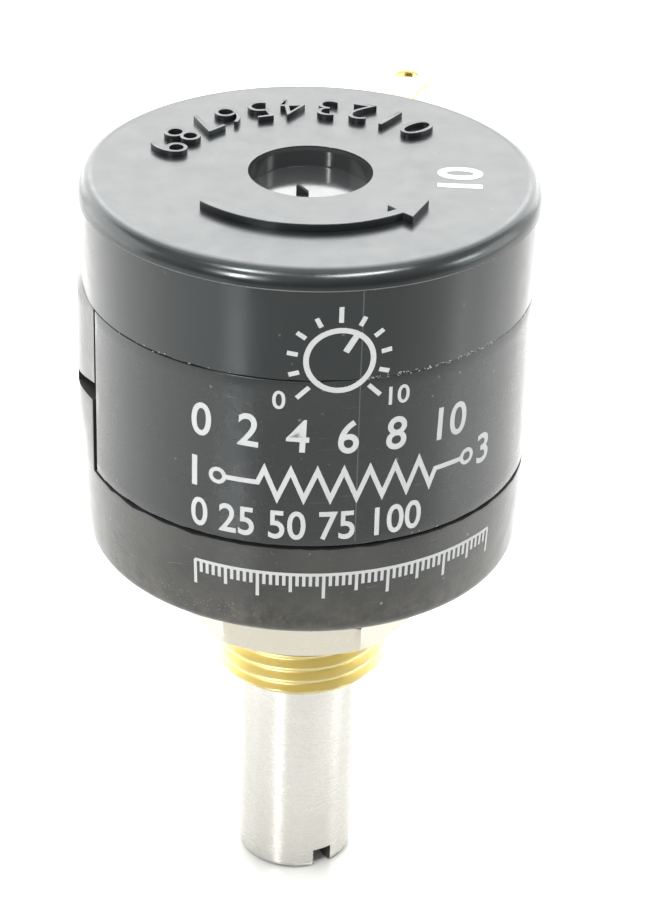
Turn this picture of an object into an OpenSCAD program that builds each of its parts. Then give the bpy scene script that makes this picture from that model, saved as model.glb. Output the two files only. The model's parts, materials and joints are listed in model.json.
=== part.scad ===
// Ten-turn wirewound panel potentiometer: 22 mm body, 6 mm slotted shaft, 9 mm threaded bushing.
// Origin at the centre of the mounting face, +Z towards the rear cover, printed side towards -Y.

/* [Body] */
// Outside diameter of the sleeve
body_d = 22; // [20:0.5:26]
// Length of the body from the mounting face to the rear face
body_l = 19.5; // [17:0.5:24]
// Thickness of the side wall
wall_t = 1.5; // [1.3:0.1:1.8]
// Height of the front rim, up to the lower seam
lid_h = 5; // [4.4:0.1:5.6]
// Thickness of the floor behind the mounting face
floor_t = 2.4; // [2:0.1:2.8]
// Radius by which the front rim is smaller at the mounting face
lid_draft = 0.2; // [0:0.05:0.4]
// Rounding of the front rim
lid_round = 0.6; // [0.3:0.1:1]
// Height of the rear cover above the upper seam
cover_h = 5.5; // [5:0.1:5.8]
// Thickness of the cover's end wall
end_wall_t = 2; // [1.9:0.1:2.4]
// Overhang of the cover's rounded cap over the sleeve
cover_lip = 0.2; // [0.1:0.05:0.4]
// Rounding of the cover's edge, below which the moulds part
cover_round = 0.85; // [0.6:0.05:1.2]
// Step at the cover's parting line
parting_step = 0.07; // [0.03:0.01:0.1]
// Diameter of the recess in the rear face
recess_d = 6; // [4:0.5:7]
// Depth of the recess in the rear face
recess_depth = 1.2; // [0.5:0.1:1.3]
// Distance of the raised turn arrow from the axis
arrow_radius = 6.6; // [5:0.1:8]
// Width of the turn arrow's line
arrow_w = 0.5; // [0.3:0.05:0.8]
// Height of the turn arrow over the rear face
arrow_h = 0.4; // [0.2:0.05:0.6]
// Open width of the lower seam
seam_gap = 0.26; // [0.1:0.02:0.4]
// Height of the laps that centre the shells on each other
lap_h = 0.7; // [0.5:0.1:0.9]
// Thickness of the laps
lap_t = 0.65; // [0.5:0.05:0.75]

/* [Terminal panel] */
// Angle at which the half-round panel meets the sleeve, from +X
split_angle = 203; // [195:1:211]
// Width of the seams between panel and sleeve
split_gap = 0.14; // [0.08:0.02:0.3]
// Height of the latch windows above the mounting face
latch_z = 9.85; // [9:0.05:10.4]
// Height of the latch windows
latch_h = 1.4; // [1:0.1:1.8]
// Length of the latch windows along the wall
latch_l = 2.2; // [1.6:0.1:3]
// How far the raised pad above the windows stands proud
pad_t = 0.25; // [0.1:0.05:0.4]

/* [Bushing and nut] */
// Outside diameter of the bushing's thread
bushing_d = 9; // [8.5:0.25:10]
// Length of the bushing below the mounting face
bushing_l = 8; // [7.5:0.5:12]
// Width of the nut across its flats
nut_af = 12; // [11.5:0.5:14]
// Thickness of the nut
nut_t = 2; // [1.6:0.1:2.4]
// Distance from the mounting face to the nut's outer face
nut_face = 4.5; // [4.5:0.1:5]
// Turn of the nut's flats from the label side
nut_turn = -3.2; // [-30:0.1:30]
// Outside diameter of the lock washer
washer_d = 12.8; // [12:0.2:14]
// Thickness of the lock washer
washer_t = 0.4; // [0.3:0.05:0.45]
// Number of teeth inside the lock washer
washer_teeth = 10; // [6:1:14]

/* [Shaft] */
// Diameter of the shaft
shaft_d = 6; // [5.5:0.25:6.5]
// Length of the shaft below the mounting face
shaft_l = 20; // [18:1:30]
// Width of the screwdriver slot
slot_w = 1.05; // [0.8:0.05:1.4]
// Depth of the screwdriver slot
slot_depth = 1.1; // [0.8:0.1:1.6]
// Direction of the slot from +X, at rest
slot_angle = -59.5; // [-90:0.5:90]
// Chamfer at the shaft's tip
tip_chamfer = 0.35; // [0.2:0.05:0.6]
// Diameter of the rear journal
journal_d = 3; // [2.5:0.1:3.4]

/* [Resistance element] */
// Lead of the coil
coil_pitch = 0.8; // [0.7:0.02:1]
// Diameter of the wound mandrel that forms the coil
coil_wire = 0.6; // [0.5:0.02:0.62]
// Angle of the terminals and the coil's ends from +X
terminal_angle = 72; // [60:1:84]

/* [Terminals] */
// Thickness of the terminals
term_t = 0.4; // [0.3:0.05:0.5]
// Width of the terminals
term_w = 2.2; // [1.8:0.1:2.4]
// Diameter of the round eye at the end of a terminal
eye_d = 2.7; // [2.4:0.1:3.2]
// Diameter of the hole in the eye
hole_d = 1.2; // [1:0.1:1.4]
// Reach of the hole's centre from the body's side
term_reach = 4.65; // [4:0.05:6]
// Depth of the wiper terminal below the rear face
wiper_term_depth = 1.2; // [1.1:0.05:1.3]

/* [Rotor] */
// Gap between the drum's flanges and the coil around them
drum_gap = 0.82; // [0.7:0.02:1.2]
// Thickness of the drum's flanges
flange_t = 0.8; // [0.6:0.1:1]
// Outside diameter of the drum's hub
hub_d = 8.8; // [8:0.1:9.2]
// Diameter of the two rods that guide the carriage
rod_d = 1; // [0.8:0.1:1.2]
// Distance of the rods from the shaft's axis
rod_radius = 6.2; // [6:0.1:6.4]
// Angle between the two rods
rod_spread = 36; // [30:1:44]
// Height of the carriage
carriage_h = 1.6; // [1.4:0.1:2]
// Thickness of the slip ring
slip_t = 0.4; // [0.3:0.05:0.6]
// Thickness of the thrust washer
thrust_t = 0.3; // [0.2:0.05:0.4]
// Thickness of the retaining ring
retainer_t = 0.4; // [0.3:0.05:0.5]

/* [Fits] */
// Radial running clearance of the shaft
shaft_fit = 0.02; // [0.01:0.005:0.05]
// Radial clearance of the nut on its thread
thread_fit = 0.05; // [0.03:0.01:0.1]
// Clearance between pieces that are seated in each other
seat_fit = 0.03; // [0.02:0.01:0.05]
// Clearance of the carriage on its rods
rod_fit = 0.05; // [0.03:0.01:0.08]
// Clearance beside faces that slide or stop on each other
slide_gap = 0.15; // [0.1:0.01:0.2]
// Axial play of the rotor
axial_play = 0.03; // [0.02:0.01:0.05]

/* [Hidden] */

$fn = 96;
arc_steps = 8;
cut = 0.5;

// Shells
body_r = body_d / 2;
inner_r = body_r - wall_t;
lap_r = inner_r + lap_t;
lid_r = body_r - lid_draft;
cap_r = body_r + cover_lip;
cover_z = body_l - cover_h;
end_wall_z = body_l - end_wall_t;
parting_z = body_l - cover_round;
half_turn = 180;
gap_angle = split_gap / body_r * half_turn / PI;
latch_angle = latch_l / body_r * half_turn / PI;
tongue_t = wall_t / 3;
tongue_share = 0.75;
pad_step = 0.15;
pad_z0 = latch_z + latch_h / 2 + pad_step;
pad_z1 = cover_z - lap_h / 2;
pad_margin = 3;
panel_relief = 0.05;
recess_chamfer = 0.25;
arrow_from = 222;
arrow_span = 92;
arrow_head_l = 1.9;
arrow_head_w = 1.7;

// Bushing
bushing_r = bushing_d / 2;
relief_depth = 0.5;
relief_l = 0.8;
relief_end = 0.1;
neck_r = bushing_r - relief_depth;
flange_overhang = 1;
flange_r = bushing_r + flange_overhang;
bushing_flange_t = floor_t / 2;
shaft_r = shaft_d / 2;
bushing_bore_r = shaft_r + shaft_fit;
bushing_chamfer = 0.4;

// Nut and washer
nut_bore_r = bushing_r + thread_fit;
nut_corner_r = nut_af / sqrt(3);
nut_chamfer_angle = 30;
nut_land_step = 0.3;
nut_land_r = nut_af / 2 - nut_land_step;
nut_overcut = 0.1;
washer_z = -nut_face + nut_t;
tooth_l = 1;
tooth_r = bushing_r + tooth_l;
tooth_gap = 0.9;

// Rotor heights
thrust_z = floor_t + axial_play;
retainer_z = thrust_z + thrust_t + axial_play;
drum_z = retainer_z + retainer_t + axial_play;
coil_z = drum_z + flange_t + slide_gap + carriage_h / 2;
term_room = term_t / 2 + 2 * seat_fit;
turns = floor((cover_z - lap_h - term_room - coil_z) / coil_pitch);
coil_rise = turns * coil_pitch;
rear_flange_z = coil_z + coil_rise + carriage_h / 2 + slide_gap;
drum_top = rear_flange_z + flange_t;
slip_z = drum_top;
slip_top = slip_z + slip_t;
thrust_w = 2;
retainer_w = 0.9;
mouth_share = 0.6;
groove_depth = 0.5;
grease_groove_l = 0.9;
grease_groove_depth = 0.25;
journal_r = journal_d / 2;
bearing_wall = 0.9;
bearing_z = slip_top + slide_gap;
bearing_seat = 0.3;
bearing_top = end_wall_z - bearing_seat;
bearing_r = journal_r + bearing_wall;
boss_wall = 1;
boss_r = bearing_r + boss_wall;
journal_top = bearing_top - slide_gap;

// Coil, its end clips and the wiper's place at rest
coil_gap = 0.08;
wire_r = coil_wire / 2;
coil_r = inner_r - coil_gap - wire_r;
coil_facets = 36;
wire_sides = 8;
shoe_angle = 6.6;
stop_angle = 0.6;
clip_angle = 8;
coil_lead_in = shoe_angle / 2 + stop_angle + clip_angle;
rest_offset = 0.25;
rest_turns = turns / 2 + rest_offset;
wiper_angle = terminal_angle + 360 * (rest_turns - floor(rest_turns));
wiper_z = coil_z + coil_pitch * rest_turns;
clip_wall = 0.32;
clip_bottom = 0.12;
clip_in_r = coil_r - wire_r - seat_fit - clip_wall;
clip_open = coil_pitch / 3;

// Carriage
hub_r = hub_d / 2;
drum_r = coil_r - wire_r - drum_gap;
carriage_in_r = hub_r + 2 * slide_gap;
carriage_out_r = drum_r + slide_gap;
carriage_margin = 9;
carriage_angle = rod_spread + 2 * carriage_margin;
shoe_gap = 0.1;
shoe_face_r = coil_r - wire_r - shoe_gap;
lip_r = coil_r - wire_r / 2;
lip_half = 0.06;
shoe_seat_depth = 0.5;
shoe_in_r = carriage_out_r - shoe_seat_depth;
shoe_seat_h = carriage_h / 3;
contact_wall = 0.25;
contact_h = 0.5;

// Terminals
wiper_term_z = body_l - wiper_term_depth;
term_in_r = inner_r - seat_fit;
term_clear = 0.7;
wiper_term_in_r = boss_r + term_clear;
eye_r = body_r + term_reach;
brush_t = 0.2;
brush_w = 1.2;
brush_foot = 1.5;
brush_bend_r = 0.5;
brush_gap = 0.03;
window_gap = 0.1;
slip_clear = 0.9;
slip_in_r = boss_r + slip_clear;
slip_out_r = rod_radius + rod_d / 2;

// Points along an arc
function arc(centre, r, from, to) =
    [for (i = [0:arc_steps]) centre + r * [cos(from + (to - from) * i / arc_steps),
                                           sin(from + (to - from) * i / arc_steps)]];

// Ring, or part of a ring, between two radii and two heights
module ring(r0, r1, z0, z1, from = 0, span = 360) {
    rotate([0, 0, from])
        rotate_extrude(angle = span)
            translate([r0, z0])
                square([r1 - r0, z1 - z0]);
}

// Radial bar that runs out from an inner radius at one angle
module radial_bar(angle, r0, r1, w, z0, z1) {
    rotate([0, 0, angle])
        translate([r0, -w / 2, z0])
            cube([r1 - r0, w, z1 - z0]);
}

// Floor and rim of the front housing
module lid_profile() {
    polygon(concat(
        [[bushing_r + seat_fit, 0]],
        arc([lid_r - lid_round, lid_round], lid_round, -90, 0),
        [[body_r, lid_h], [lap_r, lid_h], [lap_r, lid_h + lap_h], [inner_r, lid_h + lap_h],
         [inner_r, floor_t], [flange_r + seat_fit, floor_t],
         [flange_r + seat_fit, floor_t - bushing_flange_t - seat_fit],
         [bushing_r + seat_fit, floor_t - bushing_flange_t - seat_fit]]));
}

// Lid with the half-round wall that carries the two end terminals
module front_housing() {
    color("#3a3733")
    difference() {
        union() {
            rotate_extrude() lid_profile();
            ring(inner_r + panel_relief, body_r - panel_relief, lid_h - cut, cover_z - seat_fit,
                 split_angle - half_turn, half_turn);
            ring(inner_r + wall_t / 2, body_r + pad_t, pad_z0, pad_z1,
                 split_angle - half_turn + pad_margin, half_turn - 2 * pad_margin);
        }
        ring(inner_r - cut, lap_r + seat_fit, cover_z - lap_h - seat_fit, cover_z + cut);
        for (z = [coil_z, coil_z + coil_rise])
            radial_bar(terminal_angle, inner_r - cut, body_r + pad_t + cut, term_w + 2 * seat_fit,
                       z - term_t / 2 - seat_fit, z + term_t / 2 + seat_fit);
        ring(inner_r - cut, body_r + pad_t + cut, latch_z - latch_h / 2, latch_z + latch_h / 2,
             split_angle - latch_angle, latch_angle + gap_angle);
        ring(inner_r - cut, body_r + pad_t + cut, latch_z - latch_h / 2, latch_z + latch_h / 2,
             split_angle - half_turn - gap_angle, latch_angle + gap_angle);
    }
}

// Half shell with two latch tongues that reach into the panel's windows
module sleeve() {
    tongue_r = inner_r + tongue_t;
    color("#343230")
    union() {
        difference() {
            ring(inner_r, body_r, lid_h + seam_gap, cover_z - seat_fit,
                 split_angle + gap_angle, half_turn - 2 * gap_angle);
            ring(inner_r - cut, lap_r + seat_fit, lid_h - cut, lid_h + lap_h + seat_fit);
            ring(inner_r - cut, lap_r + seat_fit, cover_z - lap_h - seat_fit, cover_z + cut);
        }
        for (from = [split_angle - latch_angle * tongue_share, split_angle + half_turn - 2 * gap_angle])
            ring(tongue_r, tongue_r + tongue_t, latch_z - latch_h / 2 + window_gap,
                 latch_z + latch_h / 2 - window_gap, from, latch_angle * tongue_share + 2 * gap_angle);
    }
}

// Cap with an overhanging rounded edge, centring lap and bearing boss
module cover_profile() {
    polygon(concat(
        [[lap_r, cover_z], [body_r, cover_z], [cap_r - parting_step, parting_z]],
        arc([cap_r - cover_round, parting_z], cover_round, 0, 90),
        [[recess_d / 2 + recess_chamfer, body_l], [recess_d / 2, body_l - recess_chamfer],
         [recess_d / 2, body_l - recess_depth], [0, body_l - recess_depth],
         [0, bearing_top], [bearing_r + seat_fit, bearing_top], [bearing_r + seat_fit, bearing_z],
         [boss_r, bearing_z], [boss_r, end_wall_z], [inner_r, end_wall_z],
         [inner_r, cover_z - lap_h], [lap_r, cover_z - lap_h]]));
}

// Raised arrow that shows which way the resistance rises
module turn_arrow() {
    ring(arrow_radius - arrow_w / 2, arrow_radius + arrow_w / 2, body_l - cut, body_l + arrow_h,
         arrow_from, arrow_span);
    rotate([0, 0, arrow_from + arrow_span])
        translate([arrow_radius, -arrow_w, body_l - cut])
            linear_extrude(cut + arrow_h)
                polygon([[-arrow_head_w / 2, 0], [arrow_head_w / 2, 0], [0, arrow_head_l]]);
}

module rear_cover() {
    color("#262524")
    difference() {
        union() {
            rotate_extrude() cover_profile();
            turn_arrow();
        }
        radial_bar(terminal_angle, wiper_term_in_r - seat_fit, cap_r + cut, term_w + 2 * seat_fit,
                   wiper_term_z - term_t / 2 - seat_fit, wiper_term_z + term_t / 2 + seat_fit);
        radial_bar(terminal_angle, wiper_term_in_r - seat_fit,
                   wiper_term_in_r + brush_foot + window_gap, brush_w + 2 * window_gap,
                   end_wall_z - cut, wiper_term_z);
    }
}

// Threaded bushing with its seating flange inside the floor
module bushing() {
    color("#c9ae62")
    rotate_extrude()
        polygon([[bushing_bore_r, -bushing_l], [bushing_r - bushing_chamfer, -bushing_l],
                 [bushing_r, -bushing_l + bushing_chamfer], [bushing_r, -relief_l],
                 [neck_r, -relief_l], [neck_r, relief_end], [bushing_r, relief_end],
                 [bushing_r, floor_t - bushing_flange_t],
                 [flange_r, floor_t - bushing_flange_t], [flange_r, floor_t],
                 [bushing_bore_r, floor_t]]);
}

// Hexagon nut with corners chamfered on its outer face
module mounting_nut() {
    rim_r = nut_corner_r + nut_overcut;
    drop = (rim_r - nut_land_r) * tan(nut_chamfer_angle);
    color("#d9d6cb")
    translate([0, 0, -nut_face])
        difference() {
            intersection() {
                rotate([0, 0, nut_turn])
                    cylinder(r = nut_corner_r, h = nut_t, $fn = 6);
                rotate_extrude()
                    polygon([[0, 0], [nut_land_r, 0], [rim_r, drop], [rim_r, nut_t + cut],
                             [0, nut_t + cut]]);
            }
            translate([0, 0, -cut])
                cylinder(r = nut_bore_r, h = nut_t + 2 * cut);
        }
}

// Lock washer with teeth on its inner edge
module lock_washer() {
    color("#cfcdc4")
    difference() {
        ring(nut_bore_r, washer_d / 2, washer_z, washer_z + washer_t);
        for (i = [0:washer_teeth - 1])
            radial_bar(i * 360 / washer_teeth, 0, tooth_r, tooth_gap, washer_z - cut,
                       washer_z + washer_t + cut);
    }
}

// Slotted shaft with a grease groove, a retaining groove and the rear journal
module shaft() {
    groove_top = -bushing_l + grease_groove_l;
    retainer_r = shaft_r - groove_depth;
    color("#d6d4cc")
    difference() {
        rotate_extrude()
            polygon([[0, -shaft_l], [shaft_r - tip_chamfer, -shaft_l],
                     [shaft_r, -shaft_l + tip_chamfer], [shaft_r, -bushing_l],
                     [shaft_r - grease_groove_depth, -bushing_l],
                     [shaft_r - grease_groove_depth, groove_top], [shaft_r, groove_top],
                     [shaft_r, retainer_z - axial_play], [retainer_r, retainer_z - axial_play],
                     [retainer_r, retainer_z + retainer_t + axial_play],
                     [shaft_r, retainer_z + retainer_t + axial_play], [shaft_r, drum_top],
                     [journal_r, drum_top], [journal_r, journal_top], [0, journal_top]]);
        rotate([0, 0, slot_angle])
            translate([-shaft_d, -slot_w / 2, -shaft_l - cut])
                cube([2 * shaft_d, slot_w, slot_depth + cut]);
    }
}

// Washer between the bushing's flange and the retaining ring
module thrust_washer() {
    color("#e6e0cf")
    ring(shaft_r + shaft_fit, shaft_r + thrust_w, thrust_z, thrust_z + thrust_t);
}

// Open snap ring in the shaft's groove
module retaining_ring() {
    mouth = shaft_d * mouth_share;
    color("#8f8f8c")
    difference() {
        ring(shaft_r - groove_depth + shaft_fit, shaft_r + retainer_w, retainer_z, retainer_z + retainer_t);
        radial_bar(wiper_angle, 0, shaft_d, mouth, retainer_z - cut, retainer_z + retainer_t + cut);
    }
}

// Places what it is given at each rod
module at_rod(side) {
    rotate([0, 0, wiper_angle + side * rod_spread / 2])
        translate([rod_radius, 0, 0])
            children();
}

// Spool that turns with the shaft and holds the carriage's two rods
module rotor_drum() {
    color("#5a3b25")
    difference() {
        union() {
            ring(shaft_r + shaft_fit, hub_r, drum_z, drum_top);
            ring(shaft_r + shaft_fit, drum_r, drum_z, drum_z + flange_t);
            ring(shaft_r + shaft_fit, drum_r, rear_flange_z, drum_top);
        }
        for (side = [-1, 1])
            at_rod(side)
                translate([0, 0, drum_z - cut])
                    cylinder(d = rod_d + 2 * seat_fit, h = drum_top - drum_z + 2 * cut);
    }
}

module guide_rod() {
    color("#c4c4c2")
    at_rod(-1)
        translate([0, 0, drum_z])
            cylinder(d = rod_d, h = drum_top - drum_z);
}

module collector_rod() {
    color("#d8b65a")
    at_rod(1)
        translate([0, 0, drum_z])
            cylinder(d = rod_d, h = drum_top - drum_z);
}

// Contact ring on the rear flange, fed by the collector rod
module slip_ring() {
    color("#d8b65a")
    ring(slip_in_r, slip_out_r, slip_z, slip_top);
}

// Block that slides on the rods between the drum's flanges
module slider_carriage() {
    z0 = wiper_z - carriage_h / 2;
    color("#d9cfb4")
    difference() {
        ring(carriage_in_r, carriage_out_r, z0, z0 + carriage_h, wiper_angle - carriage_angle / 2,
             carriage_angle);
        for (side = [-1, 1])
            at_rod(side)
                translate([0, 0, z0 - cut])
                    cylinder(d = rod_d + 2 * rod_fit, h = carriage_h + 2 * cut);
        at_rod(1)
            translate([0, 0, z0 + carriage_h - contact_h])
                cylinder(d = rod_d + 2 * (rod_fit + contact_wall + seat_fit), h = contact_h + cut);
        ring(shoe_in_r - seat_fit, carriage_out_r + cut, wiper_z - shoe_seat_h / 2 - seat_fit,
             wiper_z + shoe_seat_h / 2 + seat_fit, wiper_angle - shoe_angle / 2 - stop_angle,
             shoe_angle + 2 * stop_angle);
    }
}

// Contact with a groove that rides on one turn of the coil and is led along by it
module wiper_shoe() {
    half = coil_pitch / 2;
    color("#e0c06a")
    rotate([0, 0, wiper_angle - shoe_angle / 2])
        rotate_extrude(angle = shoe_angle)
            translate([0, wiper_z])
                polygon([[shoe_in_r, -shoe_seat_h / 2], [carriage_out_r + shoe_gap, -shoe_seat_h / 2],
                         [lip_r, -half - lip_half], [lip_r, -half + lip_half], [shoe_face_r, -half / 3],
                         [shoe_face_r, half / 3], [lip_r, half - lip_half], [lip_r, half + lip_half],
                         [carriage_out_r + shoe_gap, shoe_seat_h / 2], [shoe_in_r, shoe_seat_h / 2]]);
}

// Spring sleeve that takes the current from the carriage to the collector rod
module collector_contact() {
    z1 = wiper_z + carriage_h / 2;
    color("#c98f52")
    at_rod(1)
        translate([0, 0, z1 - contact_h])
            difference() {
                cylinder(d = rod_d + 2 * (rod_fit + contact_wall), h = contact_h);
                translate([0, 0, -cut])
                    cylinder(d = rod_d + 2 * rod_fit, h = contact_h + 2 * cut);
            }
}

// Points of one ring of the coil, at an angle along it from the wiper's first stop
function coil_ring(along) =
    [for (i = [0:wire_sides - 1])
        let (side = 360 * i / wire_sides, a = terminal_angle + along, r = coil_r + wire_r * cos(side))
        [r * cos(a), r * sin(a), coil_z + coil_pitch * along / 360 + wire_r * sin(side)]];

// Wound mandrel, coiled into the helix that the wiper follows
module resistance_coil() {
    sweep = 360 * turns + 2 * coil_lead_in;
    steps = ceil(sweep * coil_facets / 360);
    last = wire_sides * steps;
    points = [for (k = [0:steps]) each coil_ring(-coil_lead_in + sweep * k / steps)];
    sides = [for (k = [0:steps - 1], i = [0:wire_sides - 1])
        let (j = (i + 1) % wire_sides, low = wire_sides * k, high = low + wire_sides)
        [low + i, high + i, high + j, low + j]];
    first_end = [[for (i = [0:wire_sides - 1]) i]];
    last_end = [[for (i = [wire_sides - 1:-1:0]) last + i]];
    color("#8c6239")
    polyhedron(points = points, faces = concat(sides, first_end, last_end), convexity = 4);
}

// Clip on one end of the coil, with the face that stops the wiper shoe
module end_clip(end) {
    direction = end == 0 ? -1 : 1;
    middle = direction * (coil_lead_in - clip_angle / 2) + end * 360 * turns;
    color("#b9b7b0")
    rotate([0, 0, terminal_angle + middle - clip_angle / 2])
        translate([0, 0, coil_z + coil_pitch * middle / 360])
            rotate_extrude(angle = clip_angle)
                mirror([0, end])
                    difference() {
                        translate([clip_in_r, -wire_r - seat_fit - clip_bottom])
                            square([inner_r - seat_fit - clip_in_r,
                                    wire_r + seat_fit + clip_bottom + clip_open]);
                        translate([coil_r, 0]) circle(r = wire_r + seat_fit);
                        translate([coil_r, 0]) square([wall_t, wire_r]);
                    }
}

module front_end_clip() {
    end_clip(0);
}

module rear_end_clip() {
    end_clip(1);
}

// Flat terminal with a round soldering eye
module terminal(r0, z) {
    color("#d9b64e")
    rotate([0, 0, terminal_angle])
        translate([0, 0, z - term_t / 2])
            linear_extrude(term_t)
                difference() {
                    union() {
                        translate([r0, -term_w / 2]) square([eye_r - r0, term_w]);
                        translate([eye_r, 0]) circle(d = eye_d);
                    }
                    translate([eye_r, 0]) circle(d = hole_d);
                }
}

module terminal_1() {
    terminal(term_in_r, coil_z);
}

module terminal_2() {
    terminal(wiper_term_in_r, wiper_term_z);
}

module terminal_3() {
    terminal(term_in_r, coil_z + coil_rise);
}

// Leaf spring from the wiper terminal down to the slip ring
module slip_ring_brush() {
    top = wiper_term_z - term_t / 2;
    r0 = wiper_term_in_r;
    low = slip_top + brush_gap;
    turn_z = low + brush_bend_r;
    leg_r = r0 + brush_foot - brush_t;
    color("#c98f52")
    rotate([0, 0, terminal_angle])
        rotate([90, 0, 0])
            translate([0, 0, -brush_w / 2])
                linear_extrude(brush_w) {
                    translate([r0, top - brush_t]) square([brush_foot, brush_t]);
                    translate([leg_r, turn_z]) square([brush_t, top - turn_z]);
                    intersection() {
                        translate([leg_r + brush_t - brush_bend_r, turn_z])
                            difference() {
                                circle(r = brush_bend_r);
                                circle(r = brush_bend_r - brush_t);
                            }
                        translate([leg_r + brush_t - 2 * brush_bend_r, low])
                            square([2 * brush_bend_r, brush_bend_r]);
                    }
                }
}

// Bush for the shaft's rear journal
module rear_bearing() {
    color("#b58a4a")
    ring(journal_r + shaft_fit, bearing_r, bearing_z, bearing_top);
}

front_housing();
sleeve();
rear_cover();
bushing();
mounting_nut();
lock_washer();
shaft();
thrust_washer();
retaining_ring();
rotor_drum();
guide_rod();
collector_rod();
slip_ring();
slider_carriage();
wiper_shoe();
collector_contact();
resistance_coil();
front_end_clip();
rear_end_clip();
terminal_1();
terminal_2();
terminal_3();
slip_ring_brush();
rear_bearing();
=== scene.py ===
"""Looks of the ten-turn panel potentiometer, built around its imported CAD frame.

Sizes are in millimetres and angles in degrees unless a comment says otherwise. Angles on the case are counted
from +X, and the printed side faces -Y.
"""
import json
import math
import random

import bmesh
import bpy
from mathutils import Matrix, Vector, noise


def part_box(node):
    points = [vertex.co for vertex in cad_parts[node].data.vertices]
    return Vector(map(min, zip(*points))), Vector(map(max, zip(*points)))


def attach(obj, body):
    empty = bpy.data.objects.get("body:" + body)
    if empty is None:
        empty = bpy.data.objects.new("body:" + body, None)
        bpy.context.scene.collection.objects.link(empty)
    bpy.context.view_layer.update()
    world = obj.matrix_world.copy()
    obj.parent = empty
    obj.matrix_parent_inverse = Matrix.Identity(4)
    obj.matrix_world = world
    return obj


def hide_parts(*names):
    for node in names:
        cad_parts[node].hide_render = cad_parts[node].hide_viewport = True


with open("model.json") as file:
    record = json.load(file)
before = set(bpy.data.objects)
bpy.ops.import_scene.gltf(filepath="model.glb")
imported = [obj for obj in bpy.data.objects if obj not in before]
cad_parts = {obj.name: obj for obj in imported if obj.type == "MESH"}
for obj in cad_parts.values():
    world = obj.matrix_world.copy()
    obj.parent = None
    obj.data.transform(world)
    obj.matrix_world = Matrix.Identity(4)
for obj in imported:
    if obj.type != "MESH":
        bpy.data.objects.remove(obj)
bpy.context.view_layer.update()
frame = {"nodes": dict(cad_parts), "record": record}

MM = 0.001
scene = bpy.context.scene


def box(node):
    """Lowest and highest corner of a CAD node in millimetres."""
    low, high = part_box(node)
    return low / MM, high / MM


def middle_z(node):
    """Height of the middle of a CAD node in millimetres."""
    low, high = box(node)
    return (low.z + high.z) / 2


# Play between seated pieces, and how far the rims stay inside the frame's box
seat, box_play = 0.03, 0.002

# Sizes that the frame gives
sleeve_low, sleeve_high = box("sleeve")
cover_low, cover_high = box("rear_cover")
nut_low, nut_high = box("mounting_nut")
shaft_low, shaft_high = box("shaft")
body_r = -sleeve_low.y
cap_r = min(cover_high.x, -cover_low.y) - box_play
seam_z = sleeve_low.z
cover_z = sleeve_high.z + seat
thread_end = box("bushing")[0].z
tip_z = shaft_low.z

# Sizes that repeat the solids, or follow the photograph where the two differ a little
wall_t = 1.5
inner_r = body_r - wall_t
lap_r = inner_r + 0.65
lap_h = 0.7
outside_r = lap_r + 0.1
lid_h = 5.0
lid_r = body_r - 0.2
lid_round = 0.6
floor_t = 2.4
lug_depth = 1.2
lug_z = middle_z("terminal_2")
rear_z = lug_z + lug_depth
arrow_h = cover_high.z - rear_z
cover_round = 0.85
parting_z = rear_z - cover_round
parting_step = 0.07
end_wall_z = rear_z - 2.0
recess_rim_r = 3.0
rim_out, rim_deep = 0.06, 0.24
recess_r = recess_rim_r - rim_out
recess_z = rear_z - 1.06
split_angle = 203
gap_angle = math.degrees(0.14 / body_r)
latch_angle = math.degrees(3.0 / body_r)
latch_low, latch_high = 8.9, 9.95
latch_drop_low, latch_drop_high = 0.28, 0.72
pad_t = 0.25
pad_high = cover_z - lap_h / 2
thread_r = 4.5
thread_pitch = 0.75
thread_depth = 0.46
bore_r = 3.02
flange_r = 5.5
neck_r = 4.0
relief_z = -0.8
shaft_r = 3.0
slot_w, slot_depth, slot_angle = 1.05, 1.1, -59.5
terminal_angle = 72
lug_w, lug_t, eye_r, hole_r = 2.2, 0.4, 1.349, 0.6
arrow_radius, arrow_w = 6.6, 0.5
arrow_from, arrow_span = 222, 92
arrow_head_l, arrow_head_w = 1.9, 1.7


# Mesh helpers
def linked(name, data):
    """New object in the scene."""
    made = bpy.data.objects.new(name, data)
    scene.collection.objects.link(made)
    return made


def worked_out(piece):
    """New mesh of an object with its modifiers, or of a drawn curve or text."""
    depsgraph = bpy.context.evaluated_depsgraph_get()
    return bpy.data.meshes.new_from_object(piece.evaluated_get(depsgraph))


def finish_mesh(name, bm, smooth_angle=40.0):
    """Object from a bmesh in millimetres, smooth where the faces meet at less than the angle."""
    bmesh.ops.remove_doubles(bm, verts=bm.verts, dist=1e-5)
    bmesh.ops.recalc_face_normals(bm, faces=bm.faces)
    bmesh.ops.scale(bm, vec=(MM, MM, MM), verts=bm.verts)
    mesh = bpy.data.meshes.new(name)
    bm.to_mesh(mesh)
    bm.free()
    mesh.shade_smooth()
    mesh.set_sharp_from_angle(angle=math.radians(smooth_angle))
    return linked(name, mesh)


def soften(piece, width, angle=40.0):
    """Round the sharp edges of a piece, and keep its large faces even."""
    bevel = piece.modifiers.new("edge_round", "BEVEL")
    bevel.width = width * MM
    bevel.segments = 2
    bevel.limit_method = "ANGLE"
    bevel.angle_limit = math.radians(angle)
    bevel.use_clamp_overlap = True
    weight = piece.modifiers.new("even_faces", "WEIGHTED_NORMAL")
    weight.keep_sharp = False


def at(radius, angle, centre=(0, 0)):
    """Point of a circle as an (x, y) pair."""
    turn = math.radians(angle)
    return centre[0] + radius * math.cos(turn), centre[1] + radius * math.sin(turn)


def polar(radius, angle, z):
    return Vector((*at(radius, angle), z))


def arc(centre, radius, start, end, count):
    """Points of an arc as (x, y) pairs."""
    return [at(radius, start + (end - start) * k / count, centre) for k in range(count + 1)]


def circle(centre, radius, count):
    return arc(centre, radius, 0, 360, count)[:-1]


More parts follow.
